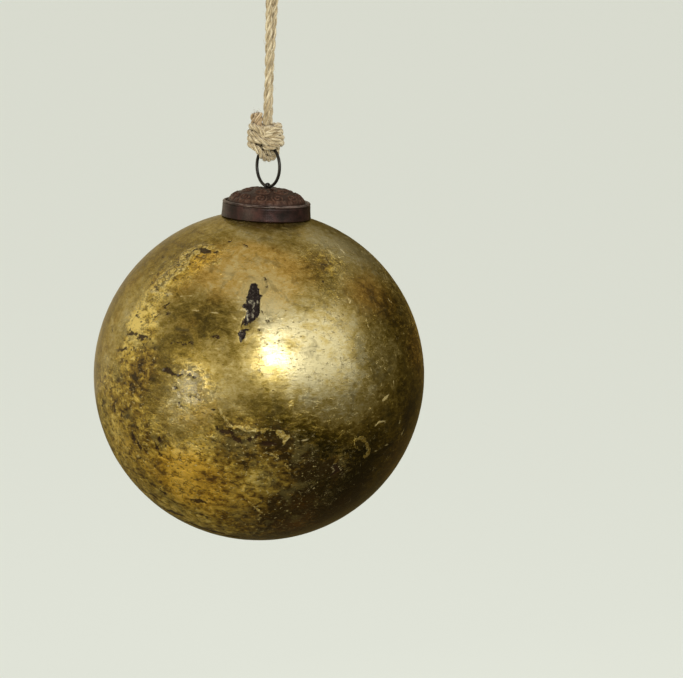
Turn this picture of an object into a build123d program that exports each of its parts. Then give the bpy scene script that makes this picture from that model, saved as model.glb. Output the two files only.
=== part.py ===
from build123d import *

# Glass ball ornament that hangs on a doubled twine loop. Millimetres, +Z up.
# The origin is the inside top of the loop, where a hook, nail or twig carries the ornament.
# The ring lies in the XZ plane, and the spring wire in the YZ plane.
# Heights named ..._z are measured from the ball's centre. lower() brings a shape down to its
# place under the loop. The twine's route alone is given from the origin.

import os
from math import radians, sqrt, tan

# Driving dimensions
ball_radius = 75.0
glass_wall = 2.0
drop = 208.0            # from the inside top of the loop down to the ball's centre
cap_radius = 20.2       # outside of the skirt
sheet = 0.5             # pressed metal of the cap
ring_radius = 9.0       # to the middle of the ring's wire
ring_wire = 1.4
spring_wire = 0.9
twine = 3.2

# Running gaps
wire_gap = 0.1          # ring to eye, and ring to the twine's turn
cap_gap = 0.2           # skirt's foot to the glass shoulder

# Glass neck, hidden in the cap
neck_radius = cap_radius - 2.0
neck_bore = neck_radius - glass_wall
neck_top_z = ball_radius + 3.3
shoulder_fillet = 1.0
lip_fillet = 0.45 * glass_wall      # nearly a full round on the cut lip

# Cap: a skirt that draws in to a rolled lip, and a dome like half a flat ellipse
lip_radius = cap_radius - 0.4
lip_bead = 0.8
lip_z = ball_radius + 4.0           # middle of the rolled lip
lip_groove = 0.8                    # flat between the rolled lip and the dome
dome_foot_radius = lip_radius - 2 * lip_bead - lip_groove
dome_rise = 6.9
hole_radius = 2.3
dimple_radius = 3.8                 # the dome dips from here down to the hole
dimple_depth = 0.75

# Ring, and the spring wire's eye round the ring's lowest point
ring_z = ball_radius + 20.3
ring_low_z = ring_z - ring_radius
ring_high_z = ring_z + ring_radius
eye_radius = (ring_wire + spring_wire) / 2 + wire_gap
eye_foot_z = ring_low_z - 3.3
butt_gap = 0.2                      # between the ring wire's two ends

# Spring legs, the same on both sides: out from the shank, down the neck, and bowed out under the
# glass shoulder, where the bow and the hooked end hold the cap on
leg_grip = neck_bore - spring_wire / 2 - 0.3
leg_route = [
    (eye_radius, eye_foot_z),
    (eye_radius, eye_foot_z - 2.4),
    (leg_grip - 1.0, neck_top_z - 2.3),
    (leg_grip, neck_top_z - 9.0),
    (leg_grip + 2.0, neck_top_z - 16.0),
    (leg_grip - 2.4, neck_top_z - 25.0),
    (leg_grip - 5.2, neck_top_z - 21.0),
]
leg_bends = [1.2, 2.5, 6.0, 4.0, 1.6]

# Knot: a fat doubled turn through the ring under a barrel of wraps
turn_radius = 3.0                    # the doubled twine as one round bundle
turn_bend = turn_radius + ring_wire / 2 + wire_gap
knot_radius = 8.4
knot_depth = 7.6
knot_low_z = ring_high_z + 1.0
knot_high_z = ball_radius + 41.0
knot_shift = (-0.85, -1.25)
knot_bulge = 0.62                    # half height of the whole barrel over the height that is kept
turn_foot_z = knot_low_z + 2.0       # where the turn's ends are inside the barrel
ring_slot = ring_wire + 0.5          # room in the knot for the swinging ring
ring_slot_z = ring_high_z + 2.2

# Hanging loop
peg_radius = 3.0                     # the hook or twig that the loop fits snugly
bight_radius = peg_radius + twine / 2

run_share = 0.45                     # of a run that the arc at each of its ends may take

# The twine's route from the knot up one leg, over the bight and down the other, chosen by hand.
# Each row is x, y, z from the origin. The bight turns in the plane of Y and Z.
twine_route = [
    (0.25, -2.29, -94.0),
    (0.36, -2.31, -80.0),
    (0.37, -2.38, -66.0),
    (-0.13, -2.76, -50.0),
    (-0.50, -3.11, -31.0),
    (-0.23, -4.45, -11.5),
    (0.0, -4.85, -0.6),
    (0.0, 0.0, 2.5),
    (0.0, 4.85, -0.6),
    (-0.22, 3.79, -11.5),
    (-1.09, 0.80, -31.0),
    (-1.45, 0.45, -50.0),
    (-1.84, 0.23, -66.0),
    (-1.72, 0.33, -80.0),
    (-1.44, 0.56, -94.0),
]

# Cut ends: foot and tip of each, x, y, z from the origin
tails = {
    "twine_tail_front": [(-1.72, -4.82, -97.0), (-1.84, -5.16, -88.9)],
    "twine_tail_back": [(-5.05, -4.54, -98.5), (-5.25, -5.01, -89.6)],
}


def lower(shape):
    """Moves a shape modelled about the ball's centre to its place below the loop."""
    return Pos(0, 0, -drop) * shape


def edges_at(shape, radius, z):
    """The round edges of a turned shape at one radius and height."""
    found = []
    for edge in shape.edges().filter_by(GeomType.CIRCLE):
        centre = edge.arc_center
        if abs(edge.radius - radius) < 0.01 and abs(centre.Z - z) < 0.01:
            found.append(edge)
    return found


def glass_globe():
    """Hollow ball with an open neck, rounded at the shoulder and the lip."""
    def ball_with_neck(radius, neck, top_z):
        joined = Sphere(radius) + Cylinder(neck, top_z, align=(Align.CENTER, Align.CENTER, Align.MIN))
        shoulder = edges_at(joined, neck, sqrt(radius**2 - neck**2))
        return fillet(shoulder, shoulder_fillet)

    outside = ball_with_neck(ball_radius, neck_radius, neck_top_z)
    inside = ball_with_neck(ball_radius - glass_wall, neck_bore, neck_top_z + 1)
    glass = outside - inside
    lip = edges_at(glass, neck_radius, neck_top_z) + edges_at(glass, neck_bore, neck_top_z)
    return fillet(lip, lip_fillet)


def dome_point(radius, inset=0.0):
    """Point of the dome's outside, or of its inside one inset in."""
    foot, rise = dome_foot_radius - inset, dome_rise - inset
    return (radius, lip_z + rise * sqrt(1 - (radius / foot)**2))


def dome_arcs(inset=0.0):
    """The dome's outline from its foot to the hole: a tight arc, a flat arc and the dimple."""
    foot = (dome_foot_radius - inset, lip_z - inset)
    near_foot, turn, crown = (dome_point(share * foot[0], inset) for share in (0.95, 0.82, 0.52))
    brink = dome_point(dimple_radius, inset)
    hole = (hole_radius, brink[1] - dimple_depth)
    return [
        ThreePointArc(foot, near_foot, turn),
        ThreePointArc(turn, crown, brink),
        Line(brink, hole),
    ], hole


def metal_cap():
    """Skirt, rolled lip and low dome, turned from one outline of the pressed sheet."""
    inner = cap_radius - sheet
    foot_z = sqrt(ball_radius**2 - inner**2) + cap_gap
    lip_middle = lip_radius - lip_bead
    inner_lip = (lip_radius - sheet, lip_z - sheet)
    outside, outside_hole = dome_arcs()
    inside, inside_hole = dome_arcs(sheet)
    outline = [
        Line((inner, foot_z), (cap_radius, foot_z)),
        Line((cap_radius, foot_z), (lip_radius, lip_z)),
        ThreePointArc((lip_radius, lip_z), (lip_middle, lip_z + lip_bead), (lip_middle - lip_bead, lip_z)),
        Line((lip_middle - lip_bead, lip_z), (dome_foot_radius, lip_z)),
        *outside,
        Line(outside_hole, inside_hole),
        *inside,
        Line((dome_foot_radius - sheet, lip_z - sheet), inner_lip),
        Line(inner_lip, (inner, foot_z)),
    ]
    return revolve(Plane.XZ * make_face(outline), Axis.Z)


def jump_ring():
    """Round wire ring with a butt joint at its top, inside the knot's turn."""
    ring = Pos(0, 0, ring_z) * Rot(90, 0, 0) * Torus(ring_radius, ring_wire / 2)
    joint = Pos(0, 0, ring_high_z) * Box(butt_gap, 2 * ring_wire, 2 * ring_wire)
    return ring - joint


def wire_along(path, diameter):
    """Round wire or twine swept along a path."""
    return sweep((path ^ 0) * Circle(diameter / 2), path)


def spring_eye():
    """Arch over the ring's lowest point, and the shank down through the cap's hole."""
    left, right = (0, -eye_radius), (0, eye_radius)
    rise = Line((*left, eye_foot_z), (*left, ring_low_z))
    arch = ThreePointArc((*left, ring_low_z), (0, 0, ring_low_z + eye_radius), (*right, ring_low_z))
    fall = Line((*right, ring_low_z), (*right, eye_foot_z))
    return wire_along(Wire([rise, arch, fall]), spring_wire)


def spring_leg(side):
    """One leg: out under the dome, down the neck, bowed under the glass shoulder, hooked in."""
    path = FilletPolyline(*[(0, side * y, z) for y, z in leg_route], radius=leg_bends)
    return wire_along(path, spring_wire)


def twine_knot():
    """Barrel of wraps, and the doubled turn that carries the ring."""
    height = knot_high_z - knot_low_z
    barrel = scale(Sphere(1), by=(knot_depth, knot_radius, height * knot_bulge))
    keep = Box(4 * knot_radius, 4 * knot_radius, height)
    barrel = Pos(*knot_shift, (knot_high_z + knot_low_z) / 2) * (barrel & keep)
    left, right = (0, -turn_bend), (0, turn_bend)
    fall = Line((*left, turn_foot_z), (*left, ring_high_z))
    under = ThreePointArc((*left, ring_high_z), (0, 0, ring_high_z - turn_bend), (*right, ring_high_z))
    rise = Line((*right, ring_high_z), (*right, turn_foot_z))
    turn = wire_along(Wire([fall, under, rise]), 2 * turn_radius)
    slot_height = ring_slot_z - ring_high_z
    slot = Pos(0, 0, ring_high_z + slot_height / 2) * Box(4 * knot_radius, ring_slot, slot_height)
    return barrel + turn - slot


def route_radii(route):
    """Largest tidy radius at each corner of a route, from its two runs and its turn."""
    points = [Vector(*point) for point in route]
    radii = []
    for before, corner, after in zip(points, points[1:], points[2:]):
        arriving, leaving = corner - before, after - corner
        shorter = min(arriving.length, leaving.length)
        half_turn = radians(arriving.get_angle(leaving) / 2)
        radii.append(run_share * shorter / tan(half_turn))
    return radii


def twine_loop():
    """Both legs and the bight, as straight runs joined by tangent arcs."""
    radii = route_radii(twine_route)
    path = FilletPolyline(*twine_route, radius=radii)
    loop = wire_along(path, twine)
    expected = path.length * Circle(twine / 2).area
    print("twine radii", [round(radius, 1) for radius in radii])
    print("twine length", round(path.length, 1), "volume / expected", round(loop.volume / expected, 4))
    return loop


def twine_tail(foot, tip):
    """One cut end of the twine."""
    return wire_along(Line(foot, tip), twine)


nodes = {
    "glass_globe": lower(glass_globe()),
    "metal_cap": lower(metal_cap()),
    "jump_ring": lower(jump_ring()),
    "spring_eye": lower(spring_eye()),
    "spring_leg_front": lower(spring_leg(-1)),
    "spring_leg_back": lower(spring_leg(1)),
    "twine_knot": lower(twine_knot()),
    "twine_loop": twine_loop(),
}
for tail_name, (tail_foot, tail_tip) in tails.items():
    nodes[tail_name] = twine_tail(tail_foot, tail_tip)

os.makedirs("parts", exist_ok=True)
for node_name, shape in nodes.items():
    export_step(shape, f"parts/{node_name}.step")
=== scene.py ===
# Glass ball ornament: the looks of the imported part, in metres, in the part's own frame.
# The camera, the stage and the lights come first, then the twine, the metal pieces and the ball.

import itertools
from math import asin, cos, pi, radians, sin, sqrt, tan

import bpy
import numpy as np
from mathutils import Matrix, Vector


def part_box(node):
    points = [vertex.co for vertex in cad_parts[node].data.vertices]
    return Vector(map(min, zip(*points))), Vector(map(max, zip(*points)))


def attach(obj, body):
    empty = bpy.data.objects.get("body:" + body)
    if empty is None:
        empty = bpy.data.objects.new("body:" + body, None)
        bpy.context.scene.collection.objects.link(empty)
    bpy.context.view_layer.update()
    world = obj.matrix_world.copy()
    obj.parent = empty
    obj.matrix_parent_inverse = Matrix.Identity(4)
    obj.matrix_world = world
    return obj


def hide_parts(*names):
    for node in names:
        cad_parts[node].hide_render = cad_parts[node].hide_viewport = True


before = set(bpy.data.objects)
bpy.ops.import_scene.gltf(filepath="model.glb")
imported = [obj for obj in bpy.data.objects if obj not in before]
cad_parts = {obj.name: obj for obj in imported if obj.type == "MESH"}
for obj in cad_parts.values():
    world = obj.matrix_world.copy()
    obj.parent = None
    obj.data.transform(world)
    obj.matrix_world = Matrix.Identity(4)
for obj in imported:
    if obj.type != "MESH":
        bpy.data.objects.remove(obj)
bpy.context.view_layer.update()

MM = 0.001
globe_low, globe_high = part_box("glass_globe")
cap_low, cap_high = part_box("metal_cap")

BALL_RADIUS = 0.075
BALL_CENTRE = Vector((0, 0, globe_low.z + BALL_RADIUS))
GLASS_WALL = 0.002

# The front of the ornament, as an azimuth about Z, and where the camera stands
FRONT_AZIMUTH = radians(55.6)
CAMERA_ELEVATION = 10.8
CAMERA_DISTANCE = 1.1
CAMERA_ROLL = radians(2.4)
SENSOR_WIDTH = 36.0

# The ball in the picture, in shares of the picture's width: how wide it is, and how far its
# centre is from the picture's, to the right and up
BALL_WIDTH_SHARE = 0.48316
BALL_OFFSET = (-0.120205, -0.052709)

TO_FRONT = Vector((sin(FRONT_AZIMUTH), -cos(FRONT_AZIMUTH), 0))
TO_RIGHT = Vector((cos(FRONT_AZIMUTH), sin(FRONT_AZIMUTH), 0))


def direction(right, up):
    """Unit vector away from the ball: degrees to the right of the front, and up from level."""
    right, up = radians(right), radians(up)
    return cos(up) * (cos(right) * TO_FRONT + sin(right) * TO_RIGHT) + Vector((0, 0, sin(up)))


# ---- meshes and shader graphs

def mesh_object(name, points, faces, material, smooth=True):
    mesh = bpy.data.meshes.new(name)
    mesh.from_pydata(np.asarray(points, float).tolist(), [], faces)
    mesh.update()
    mesh.polygons.foreach_set("use_smooth", [smooth] * len(mesh.polygons))
    piece = bpy.data.objects.new(name, mesh)
    bpy.context.scene.collection.objects.link(piece)
    mesh.materials.append(material)
    return piece


def add_values(piece, name, values):
    """Stores one number, or one vector, for each vertex."""
    values = np.asarray(values, np.float32)
    if values.ndim == 1:
        piece.data.attributes.new(name, "FLOAT", "POINT").data.foreach_set("value", values)
    else:
        layer = piece.data.attributes.new(name, "FLOAT_VECTOR", "POINT")
        layer.data.foreach_set("vector", values.ravel())


class Graph:
    """Builds the nodes of a material, or of the world, with plain calls."""

    def __init__(self, owner):
        owner.use_nodes = True
        self.owner = owner
        self.tree = owner.node_tree
        self.coordinates = self.node("ShaderNodeTexCoord").outputs

    def feed(self, socket, value):
        if isinstance(value, bpy.types.NodeSocket):
            self.tree.links.new(value, socket)
        elif socket.type == "RGBA":
            socket.default_value = (*value, 1)
        else:
            socket.default_value = value

    def node(self, kind, inputs=(), **settings):
        made = self.tree.nodes.new(kind)
        for key, value in settings.items():
            setattr(made, key, value)
        for key, value in dict(inputs).items():
            self.feed(made.inputs[key], value)
        return made

    def place(self, stretch=(1, 1, 1), source=None):
        """Position on the piece in millimetres, or another vector, stretched per axis."""
        scale = MM if source is None else 1
        inputs = {0: source or self.coordinates["Object"], 1: [factor / scale for factor in stretch]}
        return self.node("ShaderNodeVectorMath", inputs, operation="MULTIPLY").outputs[0]

    def noise(self, place, scale=1.0, detail=3.0, roughness=0.5, distortion=0.0, output=0):
        made = self.node("ShaderNodeTexNoise", {
            "Vector": place, "Scale": scale, "Detail": detail,
            "Roughness": roughness, "Distortion": distortion})
        return made.outputs[output]

    def cells(self, place, scale=1.0, feature="F1"):
        return self.node("ShaderNodeTexVoronoi", {"Vector": place, "Scale": scale}, feature=feature)

    def channel(self, colour, index):
        return self.node("ShaderNodeSeparateColor", {0: colour}).outputs[index]

    def attribute(self, name, output="Fac"):
        return self.node("ShaderNodeAttribute", attribute_name=name).outputs[output]

    def math(self, operation, first, second=0.0, third=0.0):
        made = self.node("ShaderNodeMath", {0: first, 1: second, 2: third}, operation=operation)
        return made.outputs[0]

    def times(self, first, second):
        return self.math("MULTIPLY", first, second)

    def inverse(self, value):
        return self.math("SUBTRACT", 1.0, value)

    def most(self, first, *others):
        """The largest of several values."""
        for other in others:
            first = self.math("MAXIMUM", first, other)
        return first

    def weighed(self, base, *terms):
        """base plus each (value, weight)."""
        for value, weight in terms:
            base = self.math("MULTIPLY_ADD", value, weight, base)
        return base

    def between(self, value, low, high):
        """0 below low, 1 above high, smooth between them."""
        made = self.node("ShaderNodeMapRange", {
            "Value": value, "From Min": low, "From Max": high, "To Min": 0.0, "To Max": 1.0},
            interpolation_type="SMOOTHSTEP")
        return made.outputs[0]

    def mix(self, factor, first, second, blend="MIX"):
        made = self.node("ShaderNodeMix", {0: factor, 6: first, 7: second}, data_type="RGBA",
                         blend_type=blend)
        return made.outputs[2]

    def blend(self, factor, first, second):
        made = self.node("ShaderNodeMix", {0: factor, 2: first, 3: second}, data_type="FLOAT")
        return made.outputs[0]

    def ramp(self, value, *stops):
        """Colours along a value, each stop as (value, red, green, blue)."""
        made = self.node("ShaderNodeValToRGB", {"Fac": value})
        elements = made.color_ramp.elements
        while len(elements) < len(stops):
            elements.new(0.5)
        for element, (position, *colour) in zip(elements, stops):
            element.position = position
            element.color = (*colour, 1)
        return made.outputs["Color"]

    def bump(self, height, strength):
        """Height in millimetres."""
        made = self.node("ShaderNodeBump", {"Height": height, "Distance": MM, "Strength": strength})
        return made.outputs[0]

    def finish(self, **sockets):
        """Sets the shader's inputs, named with _ for each space, and gives the material."""
        shader = self.tree.nodes["Principled BSDF"]
        for key, value in sockets.items():
            self.feed(shader.inputs[key.replace("_", " ")], value)
        return self.owner


def material_graph(name):
    return Graph(bpy.data.materials.new(name))


# ---- camera, stage and lights

def make_camera():
    half_width = tan(asin(BALL_RADIUS / CAMERA_DISTANCE))
    focal_share = BALL_WIDTH_SHARE / (2 * half_width)
    data = bpy.data.cameras.new("camera")
    data.sensor_width = SENSOR_WIDTH
    data.lens = focal_share * SENSOR_WIDTH
    camera = bpy.data.objects.new("camera", data)
    bpy.context.scene.collection.objects.link(camera)
    outward = direction(0, CAMERA_ELEVATION)
    look = (-outward).to_track_quat("-Z", "Y").to_matrix()
    to_ball = Vector((*BALL_OFFSET, -focal_share)).normalized()
    aim = to_ball.rotation_difference(Vector((0, 0, -1))).to_matrix()
    turned = look @ Matrix.Rotation(CAMERA_ROLL, 3, "Z") @ aim
    place = BALL_CENTRE + CAMERA_DISTANCE * outward
    camera.matrix_world = Matrix.Translation(place) @ turned.to_4x4()
    bpy.context.scene.camera = camera


def make_floor():
    """A wide pale floor well below the hanging ball."""
    z = globe_low.z - 1.0
    half = 60.0
    corners = [(-half, -half, z), (half, -half, z), (half, half, z), (-half, half, z)]
    g = material_graph("pale_floor")
    material = g.finish(Base_Color=(0.83, 0.86, 0.79), Roughness=0.9, Specular_IOR_Level=0.1)
    floor = mesh_object("floor", corners, [(0, 1, 2, 3)], material, smooth=False)
    floor.visible_glossy = False


def add_light(name, right, up, distance, size, power, colour=(1, 1, 1)):
    """A rectangular soft light that faces the ball."""
    data = bpy.data.lights.new(name, "AREA")
    data.shape = "RECTANGLE"
    data.size, data.size_y = size
    data.energy = power
    data.color = colour
    light = bpy.data.objects.new(name, data)
    bpy.context.scene.collection.objects.link(light)
    outward = direction(right, up)
    light.location = BALL_CENTRE + distance * outward
    light.rotation_mode = "QUATERNION"
    light.rotation_quaternion = (-outward).to_track_quat("-Z", "Y")


# The studio's colour as the camera sees it, as even light, and as each side is mirrored in the ball
WORLD_SEEN = (0.81, 0.835, 0.755)
WORLD_DIFFUSE = (0.93, 0.93, 0.91)
WORLD_LEFT = (0.66, 0.61, 0.46)
WORLD_RIGHT = (0.120, 0.105, 0.058)
WORLD_LEFT_REAR = (0.26, 0.21, 0.11)
WORLD_RIGHT_REAR = (0.10, 0.078, 0.03)
WORLD_ABOVE = (0.50, 0.46, 0.36)
WORLD_BELOW = (0.15, 0.12, 0.055)


def make_world():
    """A pale studio to look at. As light it is dimmer, and falls off to the right and below."""
    g = Graph(bpy.data.worlds.new("studio"))

    def along(axis, low, high):
        """0 to 1 as the direction turns from low to high along an axis."""
        inputs = {0: g.coordinates["Generated"], 1: axis}
        dot = g.node("ShaderNodeVectorMath", inputs, operation="DOT_PRODUCT")
        return g.between(dot.outputs["Value"], low, high)

    sides = g.mix(along(TO_RIGHT, -0.70, 0.55), WORLD_LEFT, WORLD_RIGHT)
    rear = g.mix(along(TO_RIGHT, -0.60, 0.30), WORLD_LEFT_REAR, WORLD_RIGHT_REAR)
    behind = g.mix(along(-TO_FRONT, 0.45, 0.95), sides, rear)
    above = g.mix(along((0, 0, 1), 0.25, 0.75), behind, WORLD_ABOVE)
    mirrored = g.mix(along((0, 0, -1), -0.15, 0.85), above, WORLD_BELOW)
    rays = g.node("ShaderNodeLightPath").outputs
    spread = g.mix(rays["Is Diffuse Ray"], mirrored, WORLD_DIFFUSE)
    seen = g.mix(rays["Is Camera Ray"], spread, WORLD_SEEN)
    g.feed(g.tree.nodes["Background"].inputs["Color"], seen)
    bpy.context.scene.world = g.owner


bpy.context.scene.view_settings.view_transform = "Standard"
make_camera()
make_floor()
make_world()
add_light("lamp_by_the_camera", 7.4, 22.5, 1.3, (0.11, 0.11), 3.9)
add_light("softbox_right", 39, 26, 1.5, (1.8, 1.25), 7.6, (1, 0.98, 0.87))
add_light("lamp_left", -47, -1, 1.6, (0.34, 0.50), 5.6, (1, 0.93, 0.70))
add_light("softbox_behind", -150, 15, 2.2, (2.4, 2.4), 6.5, (1, 0.92, 0.74))


# ---- repeatable noise for shapes

def hashed(cells, seed):
    """A repeatable random number from 0 to 1 for each whole-number cell."""
    x, y, z = (cells[..., axis].astype(np.int64) for axis in range(3))
    mixed = (x * 374761393 + y * 668265263 + z * 1440662683 + seed * 974634777) & 0xFFFFFFFF
    mixed = ((mixed ^ (mixed >> 13)) * 1274126177) & 0xFFFFFFFF
    return ((mixed ^ (mixed >> 16)) & 0xFFFFFF) / 0xFFFFFF


def value_noise(points, seed):
    """Smooth noise from 0 to 1, with features about one unit across."""
    base = np.floor(points)
    part = points - base
    part = part * part * (3 - 2 * part)
    total = np.zeros(points.shape[:-1])
    for corner in itertools.product((0, 1), repeat=3):
        share = np.ones(points.shape[:-1])
        for axis in range(3):
            share = share * (part[..., axis] if corner[axis] else 1 - part[..., axis])
        total += share * hashed(base + np.array(corner), seed)
    return total


def fractal(points, seed, octaves=4):
    """Several sizes of noise added up, each half as strong as the one before, from 0 to 1."""
    total, size, weight, whole = 0.0, 1.0, 1.0, 0.0
    for octave in range(octaves):
        total = total + weight * value_noise(points * size, seed + octave)
        whole += weight
        size *= 2.03
        weight *= 0.5
    return total / whole


def smooth_step(low, high, value):
    share = np.clip((value - low) / (high - low), 0, 1)
    return share * share * (3 - 2 * share)


# ---- the twine

TWINE = 0.0032
PLY_PITCH = 0.0150
PLY_SHARE, LAY_SHARE = 0.47, 0.56       # a ply's radius and its distance from the middle
PLY_FIBRES = 0.13                       # how far fibres stand out, as a share of the ply's radius
TWINE_STEP, KNOT_STEP = 0.00045, 0.0004

# The twine's route, the same points as the CAD's: up one leg, over the hook and down the other
TWINE_ROUTE = [
    (0.00025, -0.00229, -0.0940),
    (0.00036, -0.00231, -0.0800),
    (0.00037, -0.00238, -0.0660),
    (-0.00013, -0.00276, -0.0500),
    (-0.00050, -0.00311, -0.0310),
    (-0.00023, -0.00445, -0.0115),
    (0.0, -0.00485, -0.0006),
    (0.0, 0.0, 0.0025),
    (0.0, 0.00485, -0.0006),
    (-0.00022, 0.00379, -0.0115),
    (-0.00109, 0.00080, -0.0310),
    (-0.00145, 0.00045, -0.0500),
    (-0.00184, 0.00023, -0.0660),
    (-0.00172, 0.00033, -0.0800),
    (-0.00144, 0.00056, -0.0940),
]
TAILS = {
    "twine_tail_front": [(-0.00172, -0.00482, -0.0970), (-0.00184, -0.00516, -0.0889)],
    "twine_tail_back": [(-0.00505, -0.00454, -0.0985), (-0.00525, -0.00501, -0.0896)],
}


def spline_points(route):
    """Points along the smooth line that has these control points."""
    curve = bpy.data.curves.new("route", "CURVE")
    curve.dimensions = "3D"
    spline = curve.splines.new("NURBS")
    spline.points.add(len(route) - 1)
    for point, place in zip(spline.points, route):
        point.co = (*place, 1)
    spline.order_u = 3
    spline.use_endpoint_u = True
    spline.resolution_u = 24
    carrier = bpy.data.objects.new("route", curve)
    bpy.context.scene.collection.objects.link(carrier)
    bpy.context.view_layer.update()
    mesh = bpy.data.meshes.new_from_object(carrier)
    points = np.array([vertex.co for vertex in mesh.vertices])
    bpy.data.meshes.remove(mesh)
    bpy.data.objects.remove(carrier)
    bpy.data.curves.remove(curve)
    return points


def evenly(points, spacing):
    """The same line with its points a set distance apart."""
    steps = np.linalg.norm(np.diff(points, axis=0), axis=1)
    along = np.concatenate([[0], np.cumsum(steps)])
    count = max(int(round(along[-1] / spacing)), 3)
    wanted = np.linspace(0, along[-1], count + 1)
    return np.stack([np.interp(wanted, along, points[:, axis]) for axis in range(3)], 1), wanted


def frames_along(points):
    """Two directions across the line at each point, carried along it without twist."""
    tangents = np.gradient(points, axis=0)
    tangents /= np.linalg.norm(tangents, axis=1, keepdims=True)
    side = np.cross(tangents[0], [0.31, 0.95, 0.11])
    sides = []
    for tangent in tangents:
        side = side - tangent * (side @ tangent)
        side /= np.linalg.norm(side)
        sides.append(side)
    sides = np.array(sides)
    return sides, np.cross(tangents, sides)


class Bundle:
    """Collects closed tubes in one mesh, with a thread coordinate for their material."""

    def __init__(self):
        self.points, self.faces, self.thread, self.count = [], [], [], 0

    def add_tube(self, centres, radii, sides, offset, ridges, seed):
        """One tube. offset shifts its thread coordinate, and ridges is how far its fibres stand out
        as a share of its radius."""
        centres = np.asarray(centres)
        rows = len(centres)
        radii = np.broadcast_to(np.asarray(radii, float), rows)
        first, second = frames_along(centres)
        steps = np.linalg.norm(np.diff(centres, axis=0), axis=1)
        along = np.concatenate([[0], np.cumsum(steps)]) / MM + offset
        turn = np.arange(sides) * 2 * pi / sides
        across, up = (np.broadcast_to(part, (rows, sides)) for part in (np.cos(turn), np.sin(turn)))
        length = np.broadcast_to(along[:, None], (rows, sides))
        fibres = fractal(np.stack([across * 2.2, up * 2.2, length * 0.45], -1), seed, 2) - 0.5
        reach = radii[:, None] * (1 + ridges * 2 * fibres)
        outward = across[..., None] * first[:, None, :] + up[..., None] * second[:, None, :]
        shell = centres[:, None, :] + reach[..., None] * outward
        thread = np.stack([length, across + offset, up + seed], -1)
        self.points += [shell.reshape(-1, 3), centres[[0, -1]]]
        self.thread += [thread.reshape(-1, 3),
                        np.array([[along[0], offset, seed], [along[-1], offset, seed]])]
        base, last = self.count, self.count + (rows - 1) * sides
        start, end = base + rows * sides, base + rows * sides + 1
        corners = [(step, (step + 1) % sides) for step in range(sides)]
        for low in range(base, last, sides):
            high = low + sides
            self.faces += [(low + a, low + b, high + b, high + a) for a, b in corners]
        for a, b in corners:
            self.faces += [(start, base + b, base + a), (end, last + a, last + b)]
        self.count += rows * sides + 2

    def make(self, name, material):
        piece = mesh_object(name, np.concatenate(self.points), self.faces, material)
        add_values(piece, "thread", np.concatenate(self.thread))
        return piece


def add_twine(bundle, points, radius, seed, pitch=PLY_PITCH, spacing=TWINE_STEP, splay=0.0):
    """Three plies laid round a line. splay opens them towards the line's end."""
    centres, along = evenly(points, spacing)
    first, second = frames_along(centres)
    opening = 1 + splay * (along / along[-1]) ** 3
    wander = fractal(np.stack([along / 0.011, along * 0 + seed, along * 0], 1), seed, 2) - 0.5
    for ply in range(3):
        turn = 2 * pi * (along / pitch + ply / 3) + 0.9 * wander
        reach = (LAY_SHARE * radius * opening)[:, None]
        line = centres + reach * (np.cos(turn)[:, None] * first + np.sin(turn)[:, None] * second)
        breathe = 1 + 0.16 * (value_noise(
            np.stack([along / 0.006, along * 0 + ply, along * 0 + seed], 1), seed + 5) - 0.5)
        thickness = PLY_SHARE * radius * breathe
        thickness[0] *= 0.8
        thickness[-1] *= 0.75
        bundle.add_tube(line, thickness, 12, 40.0 * ply, PLY_FIBRES, seed + 11 * ply)


def add_hairs(bundle, points, radius, count, seed, length=(0.002, 0.0055), reach=0.0020):
    """Fine fibres that stand off the twine as they run along it."""
    rng = np.random.default_rng(seed)
    centres, along = evenly(points, 0.0001)
    first, second = frames_along(centres)
    share = np.linspace(0, 1, 7)
    for _ in range(count):
        size = rng.uniform(*length)
        way = rng.choice([-1, 1])
        start = rng.uniform(size, along[-1] - size)
        places = ((start + way * size * share) / along[-1] * (len(centres) - 1)).astype(int)
        turn = rng.uniform(0, 2 * pi) + rng.uniform(-1.2, 1.2) * share
        rise = rng.uniform(0.15, 1.0) * min(reach, 0.55 * size)
        away = (0.80 * radius + rise * share ** rng.uniform(1.0, 2.2))[:, None]
        outward = np.cos(turn)[:, None] * first[places] + np.sin(turn)[:, None] * second[places]
        thickness = rng.uniform(0.00003, 0.00005) * np.linspace(1, 0.35, len(share))
        line = centres[places] + away * outward
        bundle.add_tube(line, thickness, 3, rng.uniform(0, 900), 0.0, int(rng.integers(0, 40)))


def jute(name, tint=(1, 1, 1)):
    """Dry jute: pale fibres with darker lines between them, laid along each ply. The darker lines are
    partly the jute's own colour and partly painted shade in the grooves, where the bump is lowest.
    """
    g = material_graph(name)
    thread = g.attribute("thread", "Vector")
    fibres = g.noise(g.place((0.22, 4.5, 4.5), thread), 1.0, 4, 0.6)
    fine = g.noise(g.place((0.5, 11, 11), thread), 1.0, 2, 0.5)
    patch = g.noise(g.place((0.26, 0.9, 0.9), thread), 1.0, 3, 0.5)
    # Painted shade in part: the fibres noise darkens the colour where it lowers the bump.
    tone = g.weighed(-0.43, (fibres, 0.90), (fine, 0.25), (patch, 0.85))
    colour = g.ramp(tone, (0.20, 0.070, 0.045, 0.020), (0.40, 0.240, 0.172, 0.088),
                    (0.57, 0.445, 0.350, 0.200), (0.80, 0.76, 0.67, 0.47))
    height = g.weighed(0.0, (fine, 0.10), (fibres, 0.22))
    return g.finish(
        Base_Color=g.mix(1.0, colour, tint, "MULTIPLY"), Roughness=g.weighed(0.68, (fine, 0.2)),
        Normal=g.bump(height, 0.9), Specular_IOR_Level=0.25, Sheen_Weight=0.25, Sheen_Roughness=0.5)


def make_twine(material):
    """The hanging loop, with its smooth line and that line's length."""
    points = spline_points(TWINE_ROUTE)
    bundle = Bundle()
    add_twine(bundle, points, TWINE / 2, 3)
    add_hairs(bundle, points, TWINE / 2, 260, 17)
    piece = bundle.make("twine_loop_strands", material)
    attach(piece, "hanger")
    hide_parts("twine_loop")
    length = float(np.linalg.norm(np.diff(points, axis=0), axis=1).sum())
    return piece, points, length


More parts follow.
